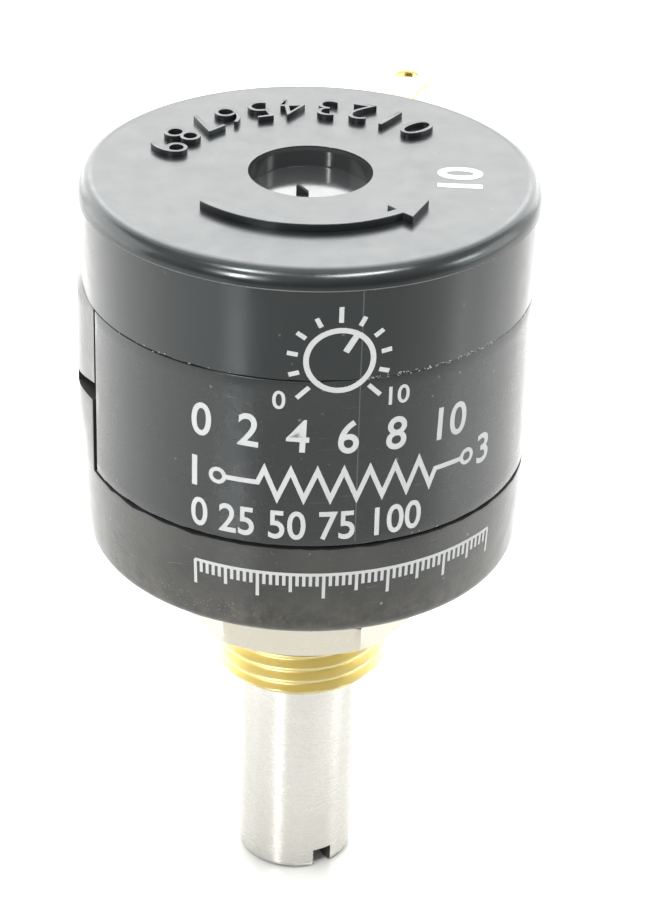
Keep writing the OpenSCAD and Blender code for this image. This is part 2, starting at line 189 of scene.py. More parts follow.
def steps(start, end, step, breaks=()):
    """Values from start to end at about the given step, with every break that lies between them."""
    count = max(1, round((end - start) / step))
    values = {round(start + (end - start) * i / count, 5) for i in range(count + 1)}
    values |= {round(b, 5) for b in breaks if start < b < end}
    values = sorted(values)
    kept = [values[0]]
    for value in values[1:]:
        if value - kept[-1] > step * 0.08:
            kept.append(value)
        elif any(abs(value - b) < 1e-4 for b in breaks):
            kept[-1] = value
    return kept


def shell(angles, levels, cell, rings=()):
    """Closed mesh of a body of revolution with windows and steps.

    The space is a grid of cells between neighbouring angles and heights. For a cell's middle, cell(angle, z)
    gives None where it is empty, or else a function that gives the inner and the outer radius at a height.
    rings are pairs of a height and a radius at which a level face gets one more ring of edges.
    """
    bm = bmesh.new()
    whole = abs(angles[-1] - angles[0] - 360) < 1e-6
    columns, rows = len(angles) - 1, len(levels) - 1
    spans = {}
    radii = [set() for _ in levels]
    for i in range(columns):
        for j in range(rows):
            form = cell((angles[i] + angles[i + 1]) / 2 % 360, (levels[j] + levels[j + 1]) / 2)
            if form:
                spans[i, j] = [tuple(round(r, 4) for r in form(z)) for z in levels[j:j + 2]]
                radii[j].update(spans[i, j][0])
                radii[j + 1].update(spans[i, j][1])
    for height, r in rings:
        radii[min(range(len(levels)), key=lambda j: abs(levels[j] - height))].add(round(r, 4))
    corners = {}

    def corner(i, j, r):
        i = i % columns if whole else i
        key = (i, j, r) if r > 0 else ("axis", j)
        if key not in corners:
            corners[key] = bm.verts.new(polar(r, angles[i], levels[j]))
        return corners[key]

    def face(points):
        loop = list(dict.fromkeys(points))
        if len(loop) > 2:
            bm.faces.new(loop)

    def between(j, r0, r1):
        return sorted(r for r in radii[j] if min(r0, r1) - 1e-6 <= r <= max(r0, r1) + 1e-6)

    def left_over(span, other):
        """Parts of a radial span that the neighbour's span leaves open."""
        if other is None:
            return [span]
        (r0, r1), (s0, s1) = span, other
        parts = []
        if r0 < s0 - 1e-6:
            parts.append((r0, min(r1, s0)))
        if r1 > s1 + 1e-6:
            parts.append((max(r0, s1), r1))
        return parts

    for (i, j), (low, high) in spans.items():
        for k in (1, 0):
            face([corner(i, j, low[k]), corner(i + 1, j, low[k]), corner(i + 1, j + 1, high[k]),
                  corner(i, j + 1, high[k])])
        for level, ends, next_row, side in ((j, low, j - 1, 1), (j + 1, high, j + 1, 0)):
            other = spans.get((i, next_row))
            for r0, r1 in left_over(ends, other[side] if other else None):
                ring = between(level, r0, r1)
                for a, b in zip(ring, ring[1:]):
                    face([corner(i, level, a), corner(i, level, b), corner(i + 1, level, b),
                          corner(i + 1, level, a)])
        for edge, step in ((i, -1), (i + 1, 1)):
            beside = (i + step) % columns if whole else i + step
            others = spans.get((beside, j), (None, None))
            for (a0, a1), (b0, b1) in zip(left_over(low, others[0]), left_over(high, others[1])):
                face([corner(edge, j, r) for r in between(j, a0, a1)]
                     + [corner(edge, j + 1, r) for r in reversed(between(j + 1, b0, b1))])
    return bm


def ragged(bm, height, depth):
    """Let the outer edge at a height waver upwards a little, as a moulded edge with flash does."""
    for v in bm.verts:
        if abs(v.co.z - height) < 1e-4 and v.co.xy.length > outside_r:
            waver = noise.noise(Vector((v.co.x * 1.3, v.co.y * 1.3, height)))
            v.co.z += depth * max(0.0, 0.35 + waver)


def lathe(profile, count):
    """Closed mesh from a closed profile of (radius, z) points turned about the axis."""
    bm = bmesh.new()
    rings = []
    for r, z in profile:
        if r == 0:
            point = bm.verts.new((0, 0, z))
            rings.append([point] * count)
        else:
            rings.append([bm.verts.new(polar(r, 360 * k / count, z)) for k in range(count)])
    for ring, after in zip(rings, rings[1:] + rings[:1]):
        for k in range(count):
            n = (k + 1) % count
            loop = list(dict.fromkeys((ring[k], ring[n], after[n], after[k])))
            if len(loop) > 2:
                bm.faces.new(loop)
    return bm


def ring_mesh(lines):
    """Closed mesh from closed lines of points that stand side by side round the axis."""
    bm = bmesh.new()
    rows = [[bm.verts.new(point) for point in line] for line in lines]
    for line, beside in zip(rows, rows[1:] + rows[:1]):
        for m in range(len(line)):
            n = (m + 1) % len(line)
            bm.faces.new((line[m], beside[m], beside[n], line[n]))
    return bm


# Materials
def preset(shader, values):
    for key, value in values.items():
        shader.inputs[key].default_value = value


def material(name, colour, roughness, metallic=0.0):
    """New material, its node tree and its shader."""
    made = bpy.data.materials.new(name)
    made.use_nodes = True
    made.diffuse_color = (*colour, 1)
    shader = made.node_tree.nodes["Principled BSDF"]
    preset(shader, {"Base Color": (*colour, 1), "Roughness": roughness, "Metallic": metallic})
    return made, made.node_tree, shader


def feed(tree, socket, value):
    """Link another node's output to a socket, or set the socket's value."""
    if isinstance(value, bpy.types.NodeSocket):
        tree.links.new(value, socket)
    else:
        socket.default_value = value


def node(tree, kind, inputs=None, **settings):
    made = tree.nodes.new(kind)
    for key, value in settings.items():
        setattr(made, key, value)
    for key, value in (inputs or {}).items():
        feed(tree, made.inputs[key], value)
    return made


def place(tree, scale=(1, 1, 1)):
    """Position on the object in millimetres, stretched by the scale."""
    coordinates = node(tree, "ShaderNodeTexCoord")
    stretch = tuple(s / MM for s in scale)
    inputs = {"Vector": coordinates.outputs["Object"], "Scale": stretch}
    return node(tree, "ShaderNodeMapping", inputs).outputs[0]


def grain(tree, vector, scale, detail=4.0, rough=0.55, distortion=0.0):
    return node(tree, "ShaderNodeTexNoise", {"Vector": vector, "Scale": scale, "Detail": detail,
                                             "Roughness": rough, "Distortion": distortion}).outputs["Fac"]


def ramp(tree, value, stops):
    """Colour ramp over (position, grey or colour) stops."""
    made = node(tree, "ShaderNodeValToRGB", {"Fac": value})
    band = made.color_ramp
    while len(band.elements) < len(stops):
        band.elements.new(0.5)
    for element, (position, colour) in zip(band.elements, stops):
        element.position = position
        element.color = (*colour, 1) if isinstance(colour, tuple) else (colour, colour, colour, 1)
    return made.outputs["Color"]


def spread(tree, value, low, high, to_low, to_high):
    return node(tree, "ShaderNodeMapRange", {"Value": value, "From Min": low, "From Max": high,
                                             "To Min": to_low, "To Max": to_high}).outputs["Result"]


def math_node(tree, operation, *values):
    made = node(tree, "ShaderNodeMath", operation=operation)
    for socket, value in zip(made.inputs, values):
        feed(tree, socket, value)
    return made.outputs[0]


def times(tree, first, second):
    return math_node(tree, "MULTIPLY", first, second)


def xyz(tree, vector):
    return node(tree, "ShaderNodeSeparateXYZ", {"Vector": vector}).outputs[:]


def mix(tree, share, first, second):
    made = node(tree, "ShaderNodeMix", data_type="RGBA")
    for key, value in (("Factor", share), ("A", first), ("B", second)):
        socket = next(s for s in made.inputs if s.name == key and s.enabled)
        feed(tree, socket, (*value, 1) if isinstance(value, tuple) else value)
    return next(s for s in made.outputs if s.enabled)


def bump(tree, shader, height, strength, distance):
    made = node(tree, "ShaderNodeBump", {"Height": height, "Strength": strength, "Distance": distance * MM})
    tree.links.new(made.outputs["Normal"], shader.inputs["Normal"])


def plastic(name, colour, dust_colour, roughness, dust, scuffs, grain_depth, sheen=0.0, flecks=0.0,
            rim_dirt=0.0, gloss_tint=(1, 1, 1)):
    """Moulded plastic with a fine grain, dust, short scuffs, pale flecks and dirt near its lower rim."""
    made, tree, shader = material(name, colour, roughness)
    preset(shader, {"Sheen Weight": sheen, "Sheen Roughness": 0.35, "Specular Tint": (*gloss_tint, 1),
                    "IOR": 1.45})
    here = place(tree)
    cloud = grain(tree, here, 0.22, 5)
    speck = ramp(tree, grain(tree, here, 4.2, 2), [(0.60, 0.0), (0.72, 1.0)])
    streak = grain(tree, place(tree, (0.5, 0.5, 7.0)), 1.3, 3, 0.6, 0.4)
    scuff = ramp(tree, streak, [(0.64, 0.0), (0.74, 1.0)])
    dusty = times(tree, spread(tree, cloud, 0.35, 0.7, 0.2, 1.0), dust)
    marks = times(tree, scuff, scuffs)
    specks = times(tree, speck, dust * 1.4)
    share = math_node(tree, "MAXIMUM", math_node(tree, "MAXIMUM", dusty, marks), specks)
    if flecks:
        dots = node(tree, "ShaderNodeTexVoronoi", {"Vector": here, "Scale": 1.1})
        chosen = ramp(tree, dots.outputs["Color"], [(0.70, 0.0), (0.72, 1.0)])
        dot = ramp(tree, dots.outputs["Distance"], [(0.05, 1.0), (0.11, 0.0)])
        share = math_node(tree, "MAXIMUM", share, times(tree, times(tree, chosen, dot), flecks))
    tint = mix(tree, share, colour, dust_colour)
    if rim_dirt:
        height = xyz(tree, here)[2]
        patches = spread(tree, grain(tree, here, 1.4, 5, 0.65), 0.40, 0.62, 0.0, rim_dirt)
        dirt = times(tree, spread(tree, height, 0.0, 2.6, 1.0, 0.0), patches)
        tint = mix(tree, dirt, tint, (0.068, 0.063, 0.048))
    tree.links.new(tint, shader.inputs["Base Color"])
    rough = spread(tree, grain(tree, here, 0.9, 4), 0.3, 0.7, roughness - 0.03, roughness + 0.04)
    rough = math_node(tree, "ADD", rough, times(tree, share, 0.3))
    tree.links.new(rough, shader.inputs["Roughness"])
    fine = grain(tree, here, 7.0, 3)
    coarse = grain(tree, here, 1.6, 3)
    height = math_node(tree, "ADD", fine, times(tree, coarse, 0.8))
    bump(tree, shader, height, 0.35, grain_depth)
    return made


def metal(name, colour, stain, roughness, stretch, line_depth, line_scale=5.0):
    """Metal with fine working lines, small stains and uneven gloss."""
    made, tree, shader = material(name, colour, roughness, 1.0)
    here = place(tree)
    lines = grain(tree, place(tree, stretch), line_scale, 3, 0.6)
    cloud = grain(tree, here, 0.5, 5, 0.6)
    pits = ramp(tree, grain(tree, here, 5.0, 2), [(0.62, 0.0), (0.75, 1.0)])
    share = math_node(tree, "ADD", spread(tree, cloud, 0.4, 0.75, 0.0, 0.55), times(tree, pits, 0.25))
    tree.links.new(mix(tree, share, colour, stain), shader.inputs["Base Color"])
    rough = math_node(tree, "ADD", spread(tree, lines, 0.3, 0.7, roughness - 0.06, roughness + 0.08),
                      times(tree, share, 0.12))
    tree.links.new(rough, shader.inputs["Roughness"])
    bump(tree, shader, lines, 0.5, line_depth)
    return made


# Colour, dust colour, roughness, dust, scuffs and grain, and for some also sheen, flecks, rim dirt and tint
plastics = {
    "front_plastic": ((0.008, 0.008, 0.0078), (0.155, 0.156, 0.138), 0.32, 0.14, 0.35, 0.032, 0.25, 0.9, 0.65),
    "sleeve_plastic": ((0.007, 0.0078, 0.008), (0.15, 0.15, 0.145), 0.27, 0.035, 0.16, 0.004, 0.20, 0.6, 0.0,
                       (0.93, 0.98, 1.0)),
    "cover_plastic": ((0.004, 0.0048, 0.005), (0.10, 0.10, 0.098), 0.22, 0.02, 0.06, 0.0015, 0.06, 0.4, 0.0,
                      (0.92, 0.98, 1.0)),
    "top_plastic": ((0.004, 0.0048, 0.005), (0.10, 0.10, 0.098), 0.31, 0.03, 0.08, 0.005, 0.0, 0.4, 0.0,
                    (0.92, 0.98, 1.0)),
    "recess_plastic": ((0.019, 0.020, 0.0205), (0.10, 0.10, 0.098), 0.13, 0.03, 0.04, 0.0005),
    # Near-black matte look: painted shade on the inner faces in the gaps, and the dark of the zero pointer
    "black_and_painted_shade": ((0.0015, 0.0015, 0.0015), (0.004, 0.004, 0.004), 0.8, 0.2, 0.1, 0.002),
    # Pale grey of the lid's scratches, and a painted highlight on the parting ledge
    "scratch_and_highlight_grey": ((0.014, 0.015, 0.015), (0.16, 0.16, 0.155), 0.45, 0.6, 0.6, 0.004),
    "wear_grey": ((0.075, 0.073, 0.067), (0.15, 0.147, 0.138), 0.5, 0.3, 0.3, 0.004),
    # Paler grey of the mould lines: a painted highlight along their edges
    "mould_highlight_grey": ((0.026, 0.027, 0.027), (0.12, 0.12, 0.118), 0.3, 0.3, 0.3, 0.003),
    "drum_plastic": ((0.13, 0.062, 0.030), (0.24, 0.14, 0.08), 0.42, 0.12, 0.1, 0.01),
    "nylon": ((0.62, 0.58, 0.48), (0.72, 0.69, 0.60), 0.45, 0.1, 0.1, 0.01),
    "print_white": ((0.35, 0.36, 0.36), (0.18, 0.18, 0.175), 0.5, 0.25, 0.3, 0.006),
    # Pale grey of the flash flakes: a painted highlight along the seams and the parting line
    "flash_and_highlight_grey": ((0.17, 0.17, 0.168), (0.30, 0.30, 0.295), 0.5, 0.3, 0.3, 0.01),
}
# Colour, stain, roughness, stretch of the working lines and their depth, and for one also their scale
metals = {
    "bushing_brass": ((0.68, 0.585, 0.28), (0.60, 0.50, 0.215), 0.36, (1, 1, 12), 0.0015),
    "plated_nickel": ((0.56, 0.53, 0.46), (0.54, 0.50, 0.42), 0.30, (1, 1, 1), 0.0006),
    "stainless": ((0.60, 0.59, 0.56), (0.55, 0.535, 0.49), 0.26, (0.4, 0.4, 9), 0.0007),
    # Dark metal for the inside of the slot: painted shade
    "slot_painted_shade": ((0.19, 0.18, 0.155), (0.08, 0.075, 0.065), 0.55, (1, 1, 1), 0.004),
    "spring_steel": ((0.52, 0.52, 0.51), (0.34, 0.32, 0.30), 0.32, (2, 2, 2), 0.003),
    "contact_gold": ((0.88, 0.70, 0.30), (0.74, 0.54, 0.20), 0.24, (3, 3, 3), 0.002),
    "spring_bronze": ((0.72, 0.44, 0.24), (0.48, 0.28, 0.14), 0.30, (2, 2, 9), 0.003),
    "coil_wire": ((0.50, 0.36, 0.22), (0.34, 0.24, 0.15), 0.36, (9, 9, 9), 0.02, 1.2),
}
looks = {name: plastic(name, *values) for name, values in plastics.items()}
looks |= {name: metal(name, *values) for name, values in metals.items()}


def dress(piece, look, body, replaces=()):
    """Give a new piece its material, its body and the nodes that it stands for."""
    piece.data.materials.clear()
    piece.data.materials.append(looks[look])
    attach(piece, body)
    if replaces:
        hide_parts(*replaces)


def paint(piece, look, chosen):
    """Give one more look to the faces whose middle is in a chosen place."""
    piece.data.materials.append(looks[look])
    index = len(piece.data.materials) - 1
    for face in piece.data.polygons:
        if chosen(face.center / MM):
            face.material_index = index


# Front housing: lid and terminal panel in one moulding
def in_sector(angle, start, span):
    return (angle - start) % 360 < span


def in_slot(angle):
    """Whether an angle lies in the slots of the terminals."""
    return abs((angle - terminal_angle + 180) % 360 - 180) < slot_half


def angle_of(v):
    return math.degrees(math.atan2(v.co.y, v.co.x)) % 360


def from_seam(v):
    """Angle from a vertex to the nearer upright seam, negative outside the terminal panel."""
    into = (angle_of(v) - panel_from) % 360
    return min(into, panel_span - into)


def lid_outer(z):
    if z < lid_round:
        return lid_r - lid_round + math.sqrt(max(0, lid_round ** 2 - (lid_round - z) ** 2))
    return lid_r + (body_r - lid_r) * (z - lid_round) / (lid_h - lid_round)


panel_from, panel_span = split_angle - 180, 180
window_starts = (split_angle - latch_angle, panel_from)
slot_half = math.degrees((lug_w / 2 + seat) / body_r)
lug_zs = [middle_z("terminal_1"), middle_z("terminal_3")]
low_gap = 2.2 * gap_angle
panel_ease, panel_full_z = 16, 8.0
column_step = 2.5
wall_rings = [3.6, 6.6, 7.4, 8.3, 11.2, 12.0, 12.7]


def housing_cell(angle, z):
    recede = low_gap if z < latch_low else 0
    panel = in_sector(angle, panel_from + recede, panel_span - 2 * recede)
    if z < floor_t / 2 - seat:
        return lambda h: (thread_r + seat, lid_outer(h))
    if z < floor_t:
        return lambda h: (flange_r + seat, lid_outer(h))
    if in_slot(angle) and any(abs(z - middle) < lug_t / 2 + seat for middle in lug_zs):
        return None
    if z < lid_h:
        return lambda h: (inner_r, lid_outer(h))
    if not panel:
        return (lambda h: (inner_r, lap_r)) if z < lid_h + lap_h else None
    if latch_low < z < latch_high and any(in_sector(angle, a, latch_angle) for a in window_starts):
        return None
    inner = lap_r + seat if z > cover_z - lap_h - seat else inner_r
    return lambda h: (inner, body_r)


round_levels = [lid_round * (1 - math.cos(math.radians(90 * k / 6))) for k in range(7)]
housing_levels = sorted({round(z, 4) for z in round_levels + wall_rings + [
    floor_t / 2 - seat, floor_t, lid_h, lid_h + lap_h, latch_low, latch_high, cover_z - lap_h - seat, pad_high,
    cover_z - seat] + [z + side * (lug_t / 2 + seat) for z in lug_zs for side in (-1, 1)]})
housing_breaks = [panel_from, panel_from + low_gap, panel_from + latch_angle, split_angle - latch_angle,
                  split_angle - low_gap, split_angle, terminal_angle - slot_half, terminal_angle + slot_half]


def eased(value, start, end):
    """Smooth rise from 0 at the start to 1 at the end."""
    share = min(1.0, max(0.0, (value - start) / (end - start)))
    return share * share * (3 - 2 * share)


def swell_panel(bm):
    """Let the terminal panel stand a little proud of the sleeve, rising from its seams and from the lid."""
    for v in bm.verts:
        if v.co.xy.length > body_r - 1e-3 and lid_h < v.co.z:
            rise = eased(v.co.z, lid_h, panel_full_z) * (1 - eased(v.co.z, pad_high, cover_z))
            v.co.xy *= 1 + pad_t * eased(from_seam(v), 0, panel_ease) * rise / body_r


def slant_latch(bm):
    """Let the latch windows, or the tongues in them, fall and narrow away from the seams."""
    for v in bm.verts:
        away = from_seam(v)
        if 0 < away < latch_angle + 0.01 and latch_low - 0.001 < v.co.z < latch_high + 0.001:
            lift = (v.co.z - latch_low) / (latch_high - latch_low)
            drop = latch_drop_low + (latch_drop_high - latch_drop_low) * lift
            v.co.z -= drop * away / latch_angle


housing_mesh = shell(steps(0, 360, column_step, housing_breaks), housing_levels, housing_cell)
ragged(housing_mesh, lid_h, depth=-0.1)
slant_latch(housing_mesh)
swell_panel(housing_mesh)
front_housing = finish_mesh("front_housing_moulding", housing_mesh)
soften(front_housing, 0.06)
dress(front_housing, "front_plastic", "housing", ["front_housing"])
# Inner faces seen through the seams, the notch and the latch windows are painted near-black: painted shade
painted_shade_r = body_r - 0.1
paint(front_housing, "black_and_painted_shade", lambda p: p.xy.length < painted_shade_r and p.z > lid_h - 0.15)


# Sleeve: half shell with a latch tongue on each side
tongue_in, tongue_out = inner_r + wall_t / 3, inner_r + 2 * wall_t / 3
tongue_l = latch_angle * 0.75
tongue_gap = 0.1
tongue_top = latch_high - tongue_gap
wide_gap = 1.2 * gap_angle
lip_gap, shut_gap = 0.06, 0.012
sleeve_foot = seam_z - 0.1
closed_from, closed_to = 272, 290
opened_from, opened_to = 330, 350


def close_lip(bm, height, lift):
    """Shut the upper seam towards the right, where the mouldings touch."""
    for v in bm.verts:
        if abs(v.co.z - height) < 0.08 and v.co.xy.length > outside_r:
            angle = angle_of(v)
            shut = eased(angle, closed_from, closed_to) * (1 - eased(angle, opened_from, opened_to))
            v.co.z += (lift(v.co.z) - v.co.z) * shut


def sleeve_cell(angle, z):
    gap = wide_gap if z < latch_low else gap_angle
    if in_sector(angle, split_angle + gap, 180 - 2 * gap):
        lapped = z < lid_h + lap_h + seat or z > cover_z - lap_h - seat
        inner = lap_r + seat if lapped else inner_r
        return lambda h: (inner, body_r)
    if latch_low + tongue_gap < z < tongue_top:
        return lambda h: (tongue_in, tongue_out)
    return None


sleeve_rings = [7.4, 12.0]
sleeve_levels = sorted([sleeve_foot, lid_h + lap_h + seat, latch_low, latch_low + tongue_gap, tongue_top,
                        cover_z - lap_h - seat, cover_z - lip_gap] + sleeve_rings)
sleeve_breaks = [split_angle + gap_angle, split_angle + 180 - gap_angle, split_angle + wide_gap,
                 split_angle + 180 - wide_gap]
sleeve_angles = steps(split_angle - tongue_l, split_angle + 180 + tongue_l, column_step, sleeve_breaks)
sleeve_mesh = shell(sleeve_angles, sleeve_levels, sleeve_cell)
ragged(sleeve_mesh, sleeve_foot, depth=0.05)
slant_latch(sleeve_mesh)
close_lip(sleeve_mesh, cover_z - lip_gap, lambda z: cover_z - shut_gap)
sleeve = finish_mesh("sleeve_moulding", sleeve_mesh)
soften(sleeve, 0.04)
dress(sleeve, "sleeve_plastic", "housing", ["sleeve"])
# The sleeve's inner faces and latch tongues are painted near-black: painted shade in the gaps
paint(sleeve, "black_and_painted_shade", lambda p: p.xy.length < painted_shade_r)


# Rear cover: cap with a rounded edge, a parting line and a recess
boss_wall, lug_clear = 1, 0.7
lug_low_r = box("rear_bearing")[1].x + boss_wall + lug_clear - seat
cover_ring_z = 15.5
ledge_h = 0.09
satin_from = parting_z + 0.85 * cover_round
rim_w = 0.08
shut_share = 0.3


def cover_outer(z):
    if z <= parting_z - ledge_h:
        return body_r + (cap_r - parting_step - body_r) * max(0, z - cover_z) / (parting_z - cover_z)
    if z <= parting_z:
        return cap_r
    lift = min(z - parting_z, cover_round)
    return cap_r - cover_round + math.sqrt(max(0, cover_round ** 2 - lift ** 2))


def recess_inner(z):
    return recess_r + rim_out / rim_deep * max(0, z - (rear_z - rim_deep))


def cover_cell(angle, z):
    if in_slot(angle) and abs(z - lug_z) < lug_t / 2 + seat:
        floor_r = recess_r if z > recess_z else 0.0
        return lambda h: (floor_r, lug_low_r)
    if z < cover_z:
        return lambda h: (inner_r, lap_r)
    if z < end_wall_z:
        return lambda h: (inner_r, cover_outer(h))
    if z < recess_z:
        return lambda h: (0.0, cover_outer(h))
    if z > parting_z:
        return lambda h: (recess_inner(h), cover_outer(max(h, parting_z + 1e-6)))
    return lambda h: (recess_inner(h), cover_outer(h))


cap_levels = [parting_z + cover_round * math.sin(math.radians(90 * k / 22)) for k in range(23)]
cover_levels = sorted({round(z, 4) for z in cap_levels + [
    cover_z - lap_h, cover_z, cover_ring_z, end_wall_z, recess_z, rear_z - rim_deep, parting_z - ledge_h,
    parting_z - 0.5 * ledge_h, lug_z - lug_t / 2 - seat, lug_z + lug_t / 2 + seat]})
cover_rings = [(recess_z, recess_r - rim_w), (rear_z, recess_rim_r + rim_w),
               (rear_z, cap_r - cover_round - rim_w)]
cover_angles = steps(0, 360, column_step, [terminal_angle - slot_half, terminal_angle + slot_half])
cover_mesh = shell(cover_angles, cover_levels, cover_cell, cover_rings)
ragged(cover_mesh, cover_z, depth=0.05)
close_lip(cover_mesh, cover_z, lambda z: cover_z + shut_share * (z - cover_z))
rear_cover = finish_mesh("rear_cover_moulding", cover_mesh)
soften(rear_cover, 0.025)
dress(rear_cover, "cover_plastic", "housing", ["rear_cover"])
ledge_low, ledge_high = parting_z - ledge_h - 0.01, parting_z + 0.005
ledge_r = cap_r - parting_step - 0.03
paint(rear_cover, "recess_plastic",
      lambda p: p.xy.length < recess_rim_r and recess_z - 0.1 < p.z < rear_z - 0.05)
# The parting ledge is painted pale grey: a painted highlight along the parting line
paint(rear_cover, "scratch_and_highlight_grey", lambda p: p.xy.length > ledge_r and ledge_low < p.z < ledge_high)
paint(rear_cover, "top_plastic", lambda p: p.xy.length > recess_rim_r and p.z > satin_from)


# Bushing with a real helical thread
root_share, flank_share, flank_ease = 0.12, 0.80, 0.3
lead_in_r, run_out_r = 4.05, 4.02
mouth, collar_z = 0.15, 0.1


def thread_radius(angle, z):
    phase = (z / thread_pitch - angle / 360) % 1
    flank = min(1, max(0, (abs(phase - 0.5) * 2 - root_share) / flank_share))
    cut_in = thread_depth * (1 - (1 - flank_ease) * flank - flank_ease * eased(flank, 0, 1))
    return min(thread_r - cut_in, lead_in_r + (z - thread_end), run_out_r + (relief_z - z))


def thread_mesh(columns=144, rows=260):
    inner = [(bore_r, floor_t), (bore_r, thread_end + mouth), (bore_r + mouth, thread_end)]
    outer = [(neck_r, relief_z), (neck_r, collar_z), (thread_r, collar_z), (thread_r, floor_t / 2),
             (flange_r, floor_t / 2), (flange_r, floor_t)]
    heights = [thread_end + (relief_z - thread_end) * k / rows for k in range(rows + 1)]
    lines = []
    for k in range(columns):
        angle = 360 * k / columns
        profile = inner + [(thread_radius(angle, z), z) for z in heights] + outer
        lines.append([polar(r, angle, z) for r, z in profile])
    return ring_mesh(lines)


bushing = finish_mesh("bushing_thread", thread_mesh(), 50)
dress(bushing, "bushing_brass", "housing", ["bushing"])


# Hexagon nut with chamfered corners
nut_af = 12.0
nut_turn = -3.2
nut_land = nut_af / 2 - 0.3
nut_bore = thread_r + 0.05
nut_slope, nut_mouth, least_drop = 30, 0.25, 0.02


def nut_mesh(per_side=16):
    z0, z1 = nut_low.z, nut_high.z
    mouth_r = nut_bore + nut_mouth
    lines = []
    for k in range(6 * per_side):
        angle = 60 * k / per_side
        flat = nut_af / 2 / math.cos(math.radians(angle % 60 - 30))
        drop = max(least_drop, (flat - nut_land) * math.tan(math.radians(nut_slope)))
        profile = [(nut_bore, z0 + nut_mouth), (mouth_r, z0), (nut_land, z0), (flat, z0 + drop),
                   (flat, z1), (nut_land, z1), (mouth_r, z1), (nut_bore, z1 - nut_mouth)]
        lines.append([polar(r, angle + nut_turn, z) for r, z in profile])
    return ring_mesh(lines)


nut = finish_mesh("mounting_nut_hexagon", nut_mesh(), 25)
soften(nut, 0.04, angle=25)
dress(nut, "plated_nickel", "nut", ["mounting_nut"])


# Shaft with a slot across its tip
def boolean(piece, cutter):
    """Cut one object out of another and drop the cutter."""
    step = piece.modifiers.new("cut", "BOOLEAN")
    step.operation = "DIFFERENCE"
    step.solver = "EXACT"
    step.object = cutter
    mesh = worked_out(piece)
    piece.modifiers.clear()
    piece.data = mesh
    bpy.data.objects.remove(cutter)


def bar(name, size, centre, angle):
    bm = bmesh.new()
    turn = Matrix.Rotation(math.radians(angle), 4, "Z")
    bmesh.ops.create_cube(bm, size=1, matrix=turn @ Matrix.Translation(centre) @ Matrix.Diagonal((*size, 1)))
    return finish_mesh(name, bm)


def shaft_profile():
    tip = 0.35
    groove_top = thread_end + 0.9
    groove_r = shaft_r - 0.25
    ring_low, ring_high = box("retaining_ring")
    ring_r = shaft_r - 0.5
    journal_r = 1.5
    drum_top = box("rotor_drum")[1].z
    return ([(0, tip_z)] + arc((shaft_r - tip, tip_z + tip), tip, -90, 0, 6)
            + [(shaft_r, thread_end), (groove_r, thread_end), (groove_r, groove_top), (shaft_r, groove_top),
               (shaft_r, ring_low.z - seat), (ring_r, ring_low.z - seat), (ring_r, ring_high.z + seat),
               (shaft_r, ring_high.z + seat), (shaft_r, drum_top), (journal_r, drum_top),
               (journal_r, shaft_high.z), (0, shaft_high.z)])


shaft = finish_mesh("shaft_ground", lathe(shaft_profile(), 144), 35)
slot = bar("slot_cutter", (3 * shaft_r, slot_w, 2 * slot_depth), (0, 0, tip_z), slot_angle)
boolean(shaft, slot)
soften(shaft, 0.03, angle=50)
dress(shaft, "stainless", "rotor", ["shaft"])
# Faces inside the slot are painted dark: painted shade where the slot lies in shadow
slot_across = polar(1, slot_angle + 90, 0)
paint(shaft, "slot_painted_shade", lambda p: abs(p.dot(slot_across)) < slot_w / 2 + 0.01
      and tip_z + 0.01 < p.z < tip_z + slot_depth + 0.01)


# Terminals: rounded soldering lugs
def lug(name, inner, eye_x, z):
    curve = bpy.data.curves.new(name, "CURVE")
    curve.dimensions = "2D"
    curve.fill_mode = "BOTH"
    rounding = 0.05
    curve.extrude = (lug_t / 2 - rounding) * MM
    curve.bevel_depth = rounding * MM
    curve.bevel_resolution = 2
    half = lug_w / 2 - rounding
    eye = eye_r - rounding
    open_angle = math.degrees(math.asin(half / eye))
    outline = [(inner + rounding, -half), *arc((eye_x, 0), eye, open_angle - 180, 180 - open_angle, 40),
               (inner + rounding, half)]
    for points in (outline, circle((eye_x, 0), hole_r + rounding, 32)):
        spline = curve.splines.new("POLY")
        spline.points.add(len(points) - 1)
        for point, (x, y) in zip(spline.points, points):
            point.co = (x * MM, y * MM, 0, 1)
        spline.use_cyclic_u = True
    drawn = linked(name + "_curve", curve)
    mesh = worked_out(drawn)
    bpy.data.objects.remove(drawn)
    mesh.transform(Matrix.Translation((0, 0, z * MM)))
    mesh.transform(Matrix.Rotation(math.radians(terminal_angle), 4, "Z"))
    bm = bmesh.new()
    bm.from_mesh(mesh)
    bmesh.ops.scale(bm, vec=(1 / MM,) * 3, verts=bm.verts)
    return finish_mesh(name, bm, 50)


def reach(name):
    """How near to the axis and how far from it a terminal's CAD node comes, along the terminals' direction."""
    along = polar(1, terminal_angle, 0)
    places = [(v.co / MM).dot(along) for v in frame["nodes"][name].data.vertices]
    return min(places), max(places)


for number in (1, 2, 3):
    name = f"terminal_{number}"
    near, far = reach(name)
    terminal = lug(name + "_lug", near, far - eye_r - box_play / 2, middle_z(name))
    dress(terminal, "contact_gold", "housing", [name])


# Marks: numbers, ticks and signs, drawn flat and then laid on the case
def strip(points, width, closed=False):
    """Line of even width through points, as flat vertices and faces."""
    count = len(points)
    verts, faces = [], []
    for k, (x, y) in enumerate(points):
        before = points[(k - 1) % count] if closed or k else points[k]
        after = points[(k + 1) % count] if closed or k < count - 1 else points[k]
        first = Vector((x - before[0], y - before[1]))
        second = Vector((after[0] - x, after[1] - y))
        first = first.normalized() if first.length else second.normalized()
        second = second.normalized() if second.length else first
        along = (first + second).normalized()
        across = Vector((-along.y, along.x)) * width / 2 / max(0.35, along.dot(first))
        verts += [(x + across.x, y + across.y), (x - across.x, y - across.y)]
    for k in range(count if closed else count - 1):
        n = (k + 1) % count
        faces.append((2 * k, 2 * k + 1, 2 * n + 1, 2 * n))
    return verts, faces


